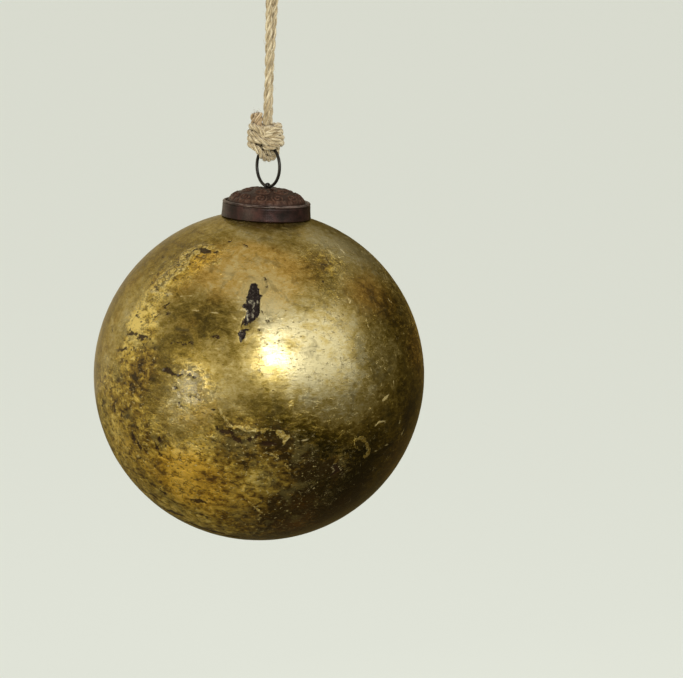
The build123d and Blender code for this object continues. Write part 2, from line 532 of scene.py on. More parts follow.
# The knot's strands: millimetres to the right, towards the front, and above the ball's centre
KNOT_STRAND = 0.00155
KNOT_PITCH = 0.0085
KNOT_STRANDS = [
    # upper wraps, which dip into the crease at the front
    [(-0.8, 3.4, 108.4), (-2.6, 5.4, 110.4), (-5.6, 4.9, 112.7), (-8.3, 1.2, 113.2),
     (-7.6, -3.8, 112.9), (-2.8, -6.3, 112.7), (2.0, -5.2, 113.1), (4.2, -1.2, 113.7),
     (3.9, 3.0, 113.6), (1.6, 5.3, 112.2), (-0.9, 5.9, 109.9), (-2.9, 3.8, 108.4)],
    [(-1.6, 4.2, 108.2), (-5.9, 5.4, 109.6), (-8.9, 1.2, 110.3), (-8.0, -4.2, 110.0),
     (-2.8, -7.0, 109.9), (3.0, -5.6, 110.6), (4.9, -0.8, 111.2), (4.2, 3.8, 111.0),
     (1.5, 5.8, 109.3), (-1.6, 4.2, 107.6)],
    # lower wraps
    [(-1.0, 4.6, 107.2), (1.0, 6.3, 107.0), (4.2, 5.0, 108.1), (5.6, -0.2, 108.6),
     (3.8, -5.4, 108.2), (-1.6, -7.3, 107.6), (-7.4, -5.0, 107.4), (-9.0, 0.4, 107.6),
     (-6.8, 5.1, 107.5), (-2.6, 6.7, 107.2), (0.6, 5.9, 106.2), (2.6, 3.6, 106.6)],
    [(-2.0, 4.2, 104.8), (0.2, 6.0, 104.4), (3.6, 5.4, 105.7), (5.7, 1.2, 106.3),
     (4.6, -4.4, 105.8), (-0.8, -6.9, 105.1), (-6.6, -5.2, 104.8), (-8.7, -0.2, 105.0),
     (-7.2, 4.2, 104.8), (-4.2, 5.0, 102.5), (-2.0, 1.8, 98.9), (1.8, -1.2, 98.9),
     (4.0, -3.2, 102.2), (2.8, -2.6, 106.4)],
]
# The doubled turn through the ring, as points in the plane across the ring's wire
TURN_STRAND_OFFSETS = (-1.42, 1.42)
TURN_SIDE = [(2.0, 101.75), (2.55, 104.2), (3.3, 107.5)]
TURN_PATH = [(-y, z) for y, z in reversed(TURN_SIDE)] + TURN_SIDE
# The knot's dark middle, as heights above the ball's centre
CORE_HEIGHTS = (106.6, 108.5, 111.5, 114.0)
CORE_RADIUS = 0.0046


def by_the_front(right, front, up):
    """A place given in millimetres to the right, towards the front, and above the ball's centre."""
    return tuple(BALL_CENTRE + MM * (right * TO_RIGHT + front * TO_FRONT + Vector((0, 0, up))))


def make_knot(material):
    """The wraps and the doubled turn through the ring, round a plain core."""
    bundle = Bundle()
    routes = [[by_the_front(*place) for place in strand] for strand in KNOT_STRANDS]
    for x in TURN_STRAND_OFFSETS:
        routes.append([tuple(BALL_CENTRE + MM * Vector((x, y, z))) for y, z in TURN_PATH])
    for number, route in enumerate(routes):
        points = spline_points(route)
        add_twine(bundle, points, KNOT_STRAND, 31 + number, KNOT_PITCH, KNOT_STEP)
        add_hairs(bundle, points, KNOT_STRAND, 26, 57 + number, (0.0015, 0.0038), 0.0013)
    core = spline_points([by_the_front(-1.4, 0.0, z) for z in CORE_HEIGHTS])
    core, along = evenly(core, 0.0006)
    belly = CORE_RADIUS * np.sqrt(np.clip(1 - (2 * along / along[-1] - 1) ** 4, 0.05, 1))
    bundle.add_tube(core, belly, 24, 0.0, 0.1, 5)
    piece = bundle.make("twine_knot_strands", material)
    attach(piece, "hanger")
    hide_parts("twine_knot")
    return piece


def make_tail(node, route, seed, material):
    """A short cut end whose plies open a little, with loose fibres at the cut."""
    bundle = Bundle()
    points = spline_points([route[0], tuple((Vector(route[0]) + Vector(route[1])) / 2), route[1]])
    add_twine(bundle, points, 1.1 * TWINE / 2, seed, KNOT_PITCH, KNOT_STEP, splay=0.25)
    add_hairs(bundle, points, TWINE / 2, 14, seed + 1, (0.0012, 0.0028), 0.0010)
    rng = np.random.default_rng(seed)
    tip = np.array(route[1])
    lengthwise = tip - np.array(route[0])
    lengthwise /= np.linalg.norm(lengthwise)
    for _ in range(36):
        start = tip + rng.normal(0, 0.0006, 3) - 0.0008 * lengthwise
        sway = rng.normal(0, 0.0005, 3)
        share = np.linspace(0, 1, 5)[:, None]
        size = rng.uniform(0.0007, 0.0016)
        line = start + lengthwise * size * share + sway * share**2
        bundle.add_tube(line, 0.00005 * np.linspace(1, 0.5, 5), 3, rng.uniform(0, 900), 0.0, 7)
    piece = bundle.make(node + "_strands", material)
    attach(piece, "hanger")
    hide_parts(node)
    return piece


jute_twine = jute("jute_twine")
jute_cut_end = jute("jute_cut_end", (0.88, 0.79, 0.74))
twine, twine_line, twine_length = make_twine(jute_twine)
knot = make_knot(jute_twine)
tails = [make_tail(node, route, 71 + number, jute_cut_end)
         for number, (node, route) in enumerate(TAILS.items())]


# ---- turned shapes

def turned_mesh(profile, around, closed=False):
    """Points and faces of a profile of (radius, height) turned about Z."""
    angles = np.arange(around) * 2 * pi / around
    rings = [np.stack([radius * np.cos(angles), radius * np.sin(angles), np.full(around, height)], 1)
             for radius, height in profile]
    faces = []
    count = len(profile)
    for ring in range(count if closed else count - 1):
        first, second = ring * around, (ring + 1) % count * around
        for step in range(around):
            following = (step + 1) % around
            faces.append((first + step, first + following, second + following, second + step))
    return np.concatenate(rings), faces


# ---- the cap

CAP_RADIUS = cap_high.x
LIP_RADIUS = CAP_RADIUS - 0.0004
SHEET = 0.0005
LIP_BEAD = 0.0008
LIP_Z = BALL_CENTRE.z + BALL_RADIUS + 0.0040
LIP_GROOVE = 0.0008             # flat between the rolled lip and the dome
DOME_FOOT_RADIUS = LIP_RADIUS - 2 * LIP_BEAD - LIP_GROOVE
DOME_RISE = 0.0069
HOLE_RADIUS = 0.0023
DIMPLE_RADIUS = 0.0038
DIMPLE_DEPTH = 0.00075
SKIRT_HOLLOW = 0.00012          # how far the skirt draws in between its foot and the crease
CREASE = 0.00030                # depth of the crease under the rolled lip

# Scrolls pressed into the dome: rings of curls as (radius from the axis, curl radius, count, turn)
SCROLL_RINGS = [(0.0090, 0.0037, 6, 0.18), (0.0146, 0.0027, 12, 0.5)]
SCROLL_TURNS = 1.9
SCROLL_SQUEEZE = (1.15, 0.88)   # towards the axis, and around it
BORDER_RADIUS, BORDER_LEAVES = 0.0166, 30
PETAL_RADIUS, PETALS = 0.0050, 14

# Heights of the pressed pattern and its hollows in millimetres
RELIEF, RELIEF_SUNK, DOME_DENTS, SKIRT_DENTS = 0.56, 0.22, 0.10, 0.10


def dimple_dip(radius):
    return DIMPLE_DEPTH * max(DIMPLE_RADIUS - radius, 0) / (DIMPLE_RADIUS - HOLE_RADIUS)


def dome_height(radius):
    """Half a flat ellipse, dipping to the hole inside the dimple's brink."""
    foot_share = min(radius / DOME_FOOT_RADIUS, 1.0)
    return LIP_Z + DOME_RISE * sqrt(1 - foot_share**2) - dimple_dip(radius)


def scroll_relief(x, y):
    """Height of the pressed scrolls, from 0 to 1, at points on the dome seen from above."""
    radius, angle = np.hypot(x, y), np.arctan2(y, x)
    relief = np.zeros_like(radius)
    for number, (ring, size, count, shift) in enumerate(SCROLL_RINGS):
        for step in range(count):
            middle = 2 * pi * (step + shift) / count
            hand = 1 if (step + number) % 2 else -1
            across = (x * cos(middle) + y * sin(middle) - ring) * SCROLL_SQUEEZE[0]
            along = (y * cos(middle) - x * sin(middle)) * SCROLL_SQUEEZE[1]
            away = np.hypot(across, along)
            turn = np.arctan2(along, across) * hand
            phase = (SCROLL_TURNS * away / size - turn / (2 * pi)) % 1.0
            wire = smooth_step(0, 1, 1 - np.abs(phase - 0.5) / 0.34)
            relief = np.maximum(relief, wire * smooth_step(size, 0.88 * size, away))
    leaves = np.abs(np.sin(angle * BORDER_LEAVES / 2)) ** 0.7
    border = leaves * smooth_step(0.0010, 0.0003, np.abs(radius - BORDER_RADIUS))
    petals = np.abs(np.cos(angle * PETALS / 2))
    petals = petals * smooth_step(0.0011, 0.0005, np.abs(radius - PETAL_RADIUS))
    return np.maximum(relief, np.maximum(0.7 * border, 0.6 * petals))


def skirt_outline(foot_z, steps=12):
    crease_z = LIP_Z - 0.0004
    outline = [(CAP_RADIUS - 0.00016, foot_z), (CAP_RADIUS, foot_z + 0.00020)]
    for share in np.arange(1, steps) / steps:
        radius = CAP_RADIUS + (LIP_RADIUS - CAP_RADIUS) * share - SKIRT_HOLLOW * sin(pi * share)
        outline.append((radius, foot_z + (crease_z - foot_z) * share))
    return outline + [(LIP_RADIUS - CREASE, crease_z),
                      (LIP_RADIUS - 0.4 * CREASE, crease_z + 0.00014)]


def dome_outline(rings=56):
    """From the foot to the hole. The rings are closest at the steep foot."""
    outline = []
    for share in np.arange(rings + 1) / rings:
        evenly_spaced = DOME_FOOT_RADIUS + (HOLE_RADIUS - DOME_FOOT_RADIUS) * share
        by_slope = DOME_FOOT_RADIUS * cos(0.5 * pi * share)
        radius = max((1 - share) * by_slope + share * evenly_spaced, HOLE_RADIUS)
        outline.append((radius, dome_height(radius)))
    return outline


def inner_outline(foot_z):
    """Down the inside of the dome and the skirt."""
    foot = DOME_FOOT_RADIUS - SHEET
    outline = []
    for share in np.linspace(0, 1, 14):
        radius = HOLE_RADIUS + (foot - HOLE_RADIUS) * sin(0.5 * pi * share)
        flat = sqrt(max(1 - (radius / foot) ** 2, 0))
        height = LIP_Z - SHEET * share + (DOME_RISE - SHEET) * flat - dimple_dip(radius)
        outline.append((radius, height))
    return outline + [(LIP_RADIUS - SHEET, LIP_Z - SHEET),
                      (CAP_RADIUS - 1.3 * SHEET, (LIP_Z + foot_z) / 2), (CAP_RADIUS - SHEET, foot_z)]


def cap_profile():
    """(radius, height) points all round the pressed sheet, and where the dome's outside is."""
    skirt = skirt_outline(cap_low.z)
    lip_middle = LIP_RADIUS - LIP_BEAD
    lip = [(lip_middle + LIP_BEAD * cos(turn), LIP_Z + LIP_BEAD * sin(turn))
           for turn in np.linspace(-0.12 * pi, pi, 12)]
    dome = dome_outline()
    first_dome = len(skirt) + len(lip)
    return skirt + lip + dome + inner_outline(cap_low.z), first_dome, first_dome + len(dome)


def make_cap(around=540):
    profile, first_dome, past_dome = cap_profile()
    points, faces = turned_mesh(profile, around, closed=True)
    x, y = points[:, 0], points[:, 1]
    radius = np.hypot(x, y)
    ring = np.repeat(np.arange(len(profile)), around)
    on_dome = (ring >= first_dome) & (ring < past_dome)
    outside = ring < first_dome
    fade = smooth_step(HOLE_RADIUS, DIMPLE_RADIUS, radius)
    fade *= smooth_step(DOME_FOOT_RADIUS, DOME_FOOT_RADIUS - 0.0005, radius)
    relief = scroll_relief(x, y) * on_dome * fade
    wobble = fractal(points / MM / 5.0, 91, 3) - 0.5
    dents = fractal(points / MM / 1.6, 97, 2) - 0.5
    raised = MM * on_dome * (RELIEF * relief - RELIEF_SUNK * fade + DOME_DENTS * fade * dents)
    slope = np.clip(radius / DOME_FOOT_RADIUS, 0, 1) ** 2
    points[:, 2] += raised * (1 - 0.4 * slope)
    grow = raised * slope * 0.8 + outside * SKIRT_DENTS * MM * (wobble + 0.5 * dents)
    points[:, :2] *= (1 + grow / np.maximum(radius, HOLE_RADIUS))[:, None]
    piece = mesh_object("cap_pressed_metal", points, faces, cap_paint())
    add_values(piece, "relief", relief)
    add_values(piece, "dome", on_dome.astype(float))
    edge = smooth_step(LIP_Z - 0.0003, LIP_Z + 0.0001, points[:, 2]) * outside
    add_values(piece, "edge", edge)
    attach(piece, "cap")
    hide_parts("metal_cap")


def cap_paint():
    """Dark purple-brown lacquer, worn to grey-brown on the scrolls and paler on the lip. The dome
    between the scrolls is darkened as painted shade. The paler scrolls and lip are partly rubbed
    lacquer and partly painted highlight.
    """
    g = material_graph("cap_paint")
    relief, dome, edge = g.attribute("relief"), g.attribute("dome"), g.attribute("edge")
    place = g.place()
    cloud = g.noise(place, 0.20, 4, 0.6)
    grain = g.noise(place, 2.4, 3, 0.6)
    scuffs = g.noise(g.place((0.35, 0.35, 3.2)), 0.8, 4, 0.6)
    skirt = g.ramp(cloud, (0.32, 0.010, 0.005, 0.004), (0.52, 0.027, 0.011, 0.009),
                   (0.74, 0.064, 0.024, 0.020))
    top = g.ramp(g.weighed(0.0, (cloud, 0.70), (grain, 0.30)), (0.32, 0.026, 0.010, 0.005),
                 (0.50, 0.070, 0.027, 0.014), (0.68, 0.130, 0.054, 0.029))
    # Painted shade: the dome is darkened between the raised scrolls.
    top = g.mix(g.times(g.inverse(relief), 0.65), top, (0.018, 0.008, 0.006))
    # The paler scrolls: partly rubbed lacquer, partly painted highlight.
    worn = g.times(relief, g.between(g.noise(place, 0.9, 3, 0.6), 0.40, 0.66))
    top = g.mix(g.times(worn, 0.50), top, (0.190, 0.122, 0.086))
    colour = g.mix(dome, skirt, top)
    # The paler lip: partly rubbed lacquer, partly painted highlight.
    rubbed = g.times(edge, g.between(scuffs, 0.36, 0.62))
    colour = g.mix(g.times(rubbed, 0.62), colour, (0.215, 0.160, 0.135))
    ticks = g.between(g.noise(g.place((0.5, 0.5, 5.0)), 1.1, 4, 0.7), 0.66, 0.70)
    colour = g.mix(g.times(ticks, 0.30), colour, (0.15, 0.09, 0.075))
    return g.finish(
        Base_Color=colour, Roughness=g.weighed(0.26, (scuffs, 0.25), (dome, 0.10)), Metallic=0.35,
        Normal=g.bump(g.weighed(0.0, (scuffs, 0.05), (grain, 0.05)), 0.8), Specular_IOR_Level=0.32)


make_cap()


# ---- ring, eye and spring legs

def black_wire():
    """Black lacquered wire with dull spots and a few rubbed specks."""
    g = material_graph("black_wire")
    place = g.place()
    spots = g.noise(place, 1.6, 4, 0.65)
    specks = g.between(g.noise(place, 4.0, 3, 0.6), 0.66, 0.72)
    colour = g.mix(g.between(spots, 0.4, 0.65), (0.010, 0.009, 0.008), (0.028, 0.023, 0.018))
    colour = g.mix(g.times(specks, 0.6), colour, (0.16, 0.13, 0.10))
    return g.finish(Base_Color=colour, Roughness=g.weighed(0.18, (spots, 0.3)), Metallic=0.35,
                    Normal=g.bump(g.times(spots, 0.05), 0.6))


def spring_steel():
    """Bright spring wire with drawn lines and a little tarnish."""
    g = material_graph("spring_steel")
    tarnish = g.noise(g.place(), 0.5, 4, 0.6)
    lines = g.noise(g.place((3.0, 3.0, 0.3)), 1.5, 3, 0.6)
    colour = g.mix(g.between(tarnish, 0.45, 0.65), (0.46, 0.45, 0.43), (0.20, 0.17, 0.14))
    return g.finish(Base_Color=colour, Roughness=g.weighed(0.22, (lines, 0.2)), Metallic=1.0,
                    Normal=g.bump(g.times(lines, 0.03), 0.5))


def repaint(node, material):
    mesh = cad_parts[node].data
    mesh.materials.clear()
    mesh.materials.append(material)
    mesh.polygons.foreach_set("material_index", [0] * len(mesh.polygons))


wire_black, wire_steel = black_wire(), spring_steel()
for node in ("jump_ring", "spring_eye"):
    repaint(node, wire_black)
for node in ("spring_leg_front", "spring_leg_back"):
    repaint(node, wire_steel)


# ---- the marks on the ball

# Soft patches: degrees right of the front, degrees up, spread in degrees, strength.
# Crust is flaky leaf, and scuffed leaf has fine pale nicks.
# The pale and dark patches are partly the leaf's own tone and partly painted light: painted highlights
# where the lamps are mirrored on the front, a painted reflection on the left side, and painted shade
# over the dark right side.
CRUST_PATCHES = [
    (-49, -19, 11, 1), (-33, -38, 12, 1), (-62, -30, 9, 0.6), (-10, -44, 15, 0.8), (-58, -4, 9, 0.6),
    (-50, 22, 5, 1.3), (-37, 53, 4, 0.55), (-44, 46, 4.5, 0.85), (-50, 37, 4.5, 0.85),
    (6, -36, 12, 0.8), (-4, -15, 8, 0.8), (-44, 9, 6, 0.8), (9, -21, 7, 0.8), (-14, -23, 7, 0.4),
    (37, 52, 6, 0.42), (31, 40, 3, 0.35), (-24, 3, 6, 0.35), (31, -22, 4, 0.5), (120, 20, 22, 0.7),
    (165, -30, 26, 0.8), (-130, 30, 22, 0.6),
]
# Darker leaf, and painted shade where the ball turns dark on its right side.
DARK_TONE_AND_PAINTED_SHADE = [
    (61, 31, 8, 0.9), (60, 2, 14, 0.7), (12.4, 20.1, 1.9, 0.9), (10, 57, 4, 0.4), (24, 46, 8, 0.5),
    (46, 46, 7, 0.55), (30, 50, 4, 0.4), (-15, -28, 6, 0.9), (16, 31, 5, 0.3), (-45, -30, 6, 0.3),
    (-47, -8, 9, 0.4), (-33, 12, 5, 0.3), (24, -17, 11, 1.1), (38, -34, 17, 1.1), (-22, 27, 8, 0.65),
    (-28, 21, 7, 0.4), (24, 59, 5, 0.2), (58, -22, 18, 0.8), (-46, 46, 9, 0.5), (4, -14, 8, 0.9),
    (-42, 11, 6, 0.8), (6, -9, 5, 0.4), (15, -14, 7, 0.8), (18, -32, 11, 0.9), (14, -49, 12, 0.8),
    (33, -44, 13, 0.7), (-9, -10, 6, 0.9), (-72, 50, 12, 0.3), (-46, -2, 7, 0.5), (-46, 5, 5, 0.4),
    (-20, -64, 12, 0.4), (-58, -38, 7, 0.3), (-36, -16, 6, 0.6), (40, 8, 6, 0.2), (-25, -8, 6, 0.4),
    (-33, 42, 5, 0.4), (-84, 30, 10, 0.4), (130, -20, 24, 0.7), (-150, 10, 26, 0.7),
    (-110, -45, 20, 0.6), (0, -75, 16, 0.6),
]
# Paler leaf, and painted highlights round the two highlights on the front, with a painted reflection on
# the left side.
PALE_TONE_AND_PAINTED_HIGHLIGHTS = [
    (9, 19, 9, 0.9), (24, 19, 11, 0.7), (30, 33, 9, 0.6), (2, 31, 6, 0.8), (46, 61, 6, 0.7),
    (-29, -14, 7, 0.6), (67, 58, 12, 1.2), (-48, -54, 8, 0.5), (-30, -60, 8, 0.5), (73, 42, 8, 0.4),
    (2, -27, 8, 0.9), (-24, 4, 6, 1.2), (2, 46, 8, 1), (-2, 36, 6, 0.6), (-30, 46, 7, 0.6),
    (-50, 22, 6, 1.1), (-13, 8, 6, 0.5), (40, 54, 6, 0.2), (-27, -31, 7, 0.9), (-22, -10, 7, 0.5),
    (-68, 22, 18, 0.4), (-72, -10, 12, 0.1), (-14, 46, 7, 0.5), (30, -1, 9, 1.6), (50, 14, 8, 0.8),
    (-44, 38, 5, 0.5), (-60, 12, 8, 0.3), (9, -21, 6, 0.4), (100, -10, 20, 0.5), (-160, 30, 20, 0.5),
    (170, -5, 18, 0.4),
]
# The negative patch at the hot spot takes the orange out of the painted highlight there.
WARM_PATCHES = [
    (1, 47, 10, 1.1), (10, 17, 9, -0.8), (-12, 50, 9, 0.5), (-30, 45, 9, 0.45), (53, 37, 8, 0.65),
    (78, 15, 9, 1), (-27, -31, 8, 1.3), (-10, -34, 9, 0.7), (-24, -10, 8, 0.4), (40, -52, 13, 0.6),
    (72, -25, 8, 0.8), (-55, -20, 10, 0.4), (120, 25, 18, 0.8), (-140, 20, 20, 0.7),
    (180, -40, 25, 0.8),
]
SCUFFED_PATCHES = [
    (40, -24, 17, 1), (61, 20, 13, 0.8), (16, -12, 8, 0.6), (44, 14, 8, 0.5), (-60, -45, 10, 0.6),
    (140, 0, 26, 0.9), (-150, -15, 24, 0.9), (-105, 30, 16, 0.8), (100, -40, 16, 0.8),
]

# Strokes: each point is degrees right, degrees up, and half the stroke's width in mm.
# Bare chips, where the leaf is gone
CHIPS = [
    [(-4.1, 41, 1.5), (-3.9, 39.2, 2), (-3.5, 37.3, 1.9)], [(-3.5, 37.2, 1.2), (-0.7, 37.4, 0.5)],
    [(-3.8, 36, 2.5), (-3.4, 32.8, 2.9), (-3.6, 30.4, 2.1)], [(-6.9, 33.7, 0.5), (-4.5, 34.8, 1.4)],
    [(-5, 30.6, 1.4), (-5.4, 27.4, 0.6)], [(-6.2, 25.3, 0.5), (-4.8, 25.4, 0.5)],
    [(-6.7, 23.6, 1.4), (-6.8, 21.9, 0.4)], [(140, 36, 1.4), (143, 31, 2.8), (141, 25, 1.4)],
    [(-140, -12, 1.2), (-136, -15, 2.4), (-131, -16, 1)], [(100, -33, 1.2), (103, -37, 2)],
]
# Wrinkles and flakes that stand up. Their colour is paler, partly a painted highlight on the raised
# leaf.
RIDGES = [
    [(-28, 55.2, 0.8), (-35, 55.8, 2), (-41.4, 55, 3), (-45.5, 51.1, 3.8), (-43.3, 47.6, 3.4),
     (-44.4, 44.3, 3.8), (-47.4, 41.5, 4), (-49.2, 38, 4), (-51, 35, 2.6), (-44, 35.6, 1.4)],
    [(-26, 51, 0.6), (-24, 49.5, 0.9), (-27, 48.8, 0.5)], [(-20, 57.5, 0.5), (-24, 58.2, 0.6)],
    [(-13.1, -1.2, 0.4), (-11, -3.3, 0.9), (-9, -6, 1.3), (-6.3, -6.7, 0.9), (-3.6, -7.2, 1.3),
     (-1, -7.8, 0.8), (1.6, -7.7, 1.2), (5.5, -7.4, 0.5), (9.3, -9.4, 1.5), (9.2, -11.9, 0.6)],
    [(10.7, 1.5, 1), (10.9, 0.9, 0.8)], [(2.5, -2.5, 0.4), (6.5, -3.4, 0.5), (9.5, -4.6, 0.3)],
    [(-48.5, -23.3, 0.9), (-45.8, -24.7, 0.7), (-43.4, -26.7, 0.5)],
    [(5, -15.6, 0.3), (8, -17.6, 0.35), (11.5, -20.5, 0.3), (15.2, -24, 0.35), (17.5, -23, 0.2)],
    [(38.3, -16.2, 0.7), (35.3, -13.6, 0.8), (35.6, -11.6, 0.8), (38.8, -11.6, 0.8), (41.9, -14.4, 0.8),
     (43.6, -17.6, 1), (41.9, -19, 0.6)], [(-20, -10, 0.3), (-15, -11, 0.5), (-11, -14, 0.4)],
    [(-60, -13, 0.5), (-58.6, -18, 0.6), (-61, -24, 0.5)],
    [(-6, -34, 0.3), (-1, -37, 0.5), (3.2, -42, 0.3), (2, -47, 0.4)],
    [(31, 40.5, 0.3), (33, 37.5, 0.3)], [(110, 12, 0.4), (118, 8, 0.9), (127, 9, 0.5)],
    [(-120, 40, 0.5), (-128, 34, 1), (-133, 25, 0.5)],
    [(170, -8, 0.4), (176, -14, 1.1), (-177, -22, 0.6)],
]
# Dark cracks, pits and rubbed-through streaks
CRACKS = [
    [(-28.9, 54.3, 0.7), (-35, 54.2, 1.3), (-41.4, 54.1, 0.6), (-45.1, 51.1, 0.25), (-42.9, 47.6, 0.35),
     (-44, 44.3, 0.25), (-46.7, 41.8, 0.3), (-47.8, 38.3, 0.35), (-47.2, 36.4, 0.3)],
    [(-42.9, 50.4, 0.4), (-39.5, 49.6, 0.5), (-37.6, 47.8, 0.3)],
    [(-48, 47.5, 0.3), (-44.8, 46.2, 0.5)],
    [(-50.5, 42.6, 0.3), (-46.8, 41.4, 0.5), (-41.5, 42.2, 0.3)],
    [(-52, 36.4, 0.3), (-47, 35.2, 0.5), (-41, 34, 0.4)], [(-50, 33.2, 0.3), (-45, 32.8, 0.5)],
    [(-23.4, 51.6, 0.5), (-26.6, 50.2, 0.5)], [(-25, 60.2, 0.6), (-23.6, 61, 0.5)],
    [(-13.3, 59.7, 0.4), (-9.8, 58.6, 0.6)], [(-62.5, 47.4, 0.7), (-60.9, 46.8, 0.5)],
    [(-17.6, 22.4, 0.5), (-15, 22.2, 0.7)], [(-54, 25.6, 0.8), (-52.4, 25, 0.6)],
    [(-52, 19.4, 0.4), (-48, 17.4, 0.6), (-44.4, 18.4, 0.4)], [(-50.4, 15.4, 0.5), (-48.4, 13.6, 0.7)],
    [(-45, 15.6, 0.5), (-42.6, 14.8, 0.6)], [(-0.2, 32.3, 0.5), (1.6, 28.6, 0.4), (2.1, 26.7, 0.45)],
    [(-1, 26, 0.5), (1.6, 26.7, 0.4)], [(2.3, 29.1, 0.45), (4.2, 29.2, 0.45)],
    [(-6.4, 28.8, 0.55), (-6.4, 26.6, 0.5)], [(-3.9, 28.8, 0.6), (-4.2, 26.4, 0.45)],
    [(1.1, 44.3, 0.75), (1.1, 44.1, 0.75)], [(1.5, 42.1, 0.6), (1.5, 42, 0.6)],
    [(28.3, 43.5, 0.6), (28.4, 43.3, 0.6)], [(-40.1, 29.7, 0.8), (-39.4, 29.5, 0.7)],
    [(-67.4, 18, 0.9), (-66.8, 17.6, 0.8)],
    [(-33.2, 18.7, 0.35), (-27, 19.3, 0.4), (-22.2, 19.7, 0.25)],
    [(-14.3, -7.4, 0.7), (-11.6, -8.5, 1.1), (-8.6, -9, 0.9)], [(-8.4, -10.6, 0.8), (-5.5, -11.6, 1.1)],
    [(-2.2, -11, 0.8), (0.4, -9.8, 0.5)], [(1, -11.6, 0.6), (6, -12.2, 0.9)],
    [(-33.2, 9.4, 0.4), (-28.7, 8.8, 0.6), (-24.9, 8.3, 0.5)], [(-43.1, 26.8, 0.4), (-36.8, 28.3, 0.5)],
    [(-42.3, 29.1, 0.5), (-39.1, 31.7, 0.7)], [(-54.3, 20.2, 0.6), (-51.4, 18.5, 0.5)],
    [(-54.3, 18.1, 0.4), (-49.5, 18.9, 0.6), (-43.3, 18.7, 0.4)],
    [(-48.7, 19.6, 0.4), (-46.1, 17.6, 0.5)], [(-44, 20.6, 0.4), (-40.9, 20, 0.6)],
    [(-52.1, 16.3, 0.4), (-46.8, 14.4, 0.5)], [(-68.6, -6, 0.5), (-68.8, -10.8, 0.6)],
    [(-53.1, -1, 0.5), (-52.6, -5.2, 0.5)], [(-58.3, -7.2, 0.5), (-58.1, -9.8, 0.5)],
    [(-47.7, 2.8, 0.5), (-47.5, -1.5, 0.6)], [(-60, 12, 0.4), (-53, 13.4, 0.6)],
    [(-48.5, -14.5, 0.8), (-48.3, -17, 1.1)], [(-46.2, -16.8, 0.6), (-45.4, -19.2, 0.9)],
    [(-50.8, -19, 0.5), (-50, -21, 0.7)], [(-35.1, -13.2, 0.7), (-35.6, -15, 0.9)],
    [(-33.6, -15.8, 0.5), (-32.8, -17, 0.7)], [(-37.4, -16.8, 0.5), (-37, -18.2, 0.6)],
    [(-36.4, -20.1, 0.7), (-34.9, -21, 0.6)], [(-41, -11, 0.4), (-40.6, -12.6, 0.6)],
    [(-67.6, -23.9, 0.6), (-64.1, -25.5, 0.5), (-61.2, -27.2, 0.4)],
    [(-56.3, -41.4, 0.8), (-51.7, -42.9, 1)], [(-56, -50.3, 1.2), (-48, -50.4, 1.8), (-42, -50.8, 1)],
    [(-44.2, -56.8, 1.5), (-40, -58.4, 2.2), (-35.8, -60.4, 1.4)],
    [(-33.9, -60.8, 1.5), (-28.4, -61.8, 2.4), (-23.1, -62, 1.4)],
    [(-22, -64.8, 1.2), (-14.1, -66, 1.4)], [(-30, -47, 0.8), (-24, -47.6, 1)],
    [(-46, -37, 0.7), (-42, -38, 0.9)], [(-27.3, -39.3, 0.9), (-24, -39, 1.5), (-20.8, -38.6, 0.9)],
    [(-68.6, -5.4, 0.7), (-67.4, -8.8, 0.6)], [(-66.7, -10.8, 0.6), (-66.2, -13.6, 0.5)],
    [(-53.6, -8.1, 0.6), (-53.4, -10.4, 0.5)], [(-18, -3, 0.3), (-13.6, -4.6, 0.5)],
    [(29.3, -20.7, 1), (31.5, -23.7, 1.2), (29, -25.2, 0.8)],
    [(120, -5, 0.5), (128, -9, 1.2), (137, -8, 0.6)], [(-155, 42, 0.5), (-148, 36, 1), (-150, 28, 0.5)],
    [(80, -42, 0.6), (90, -45, 1), (99, -43, 0.5)], [(-115, -5, 0.6), (-108, -9, 1.4), (-101, -8, 0.6)],
]
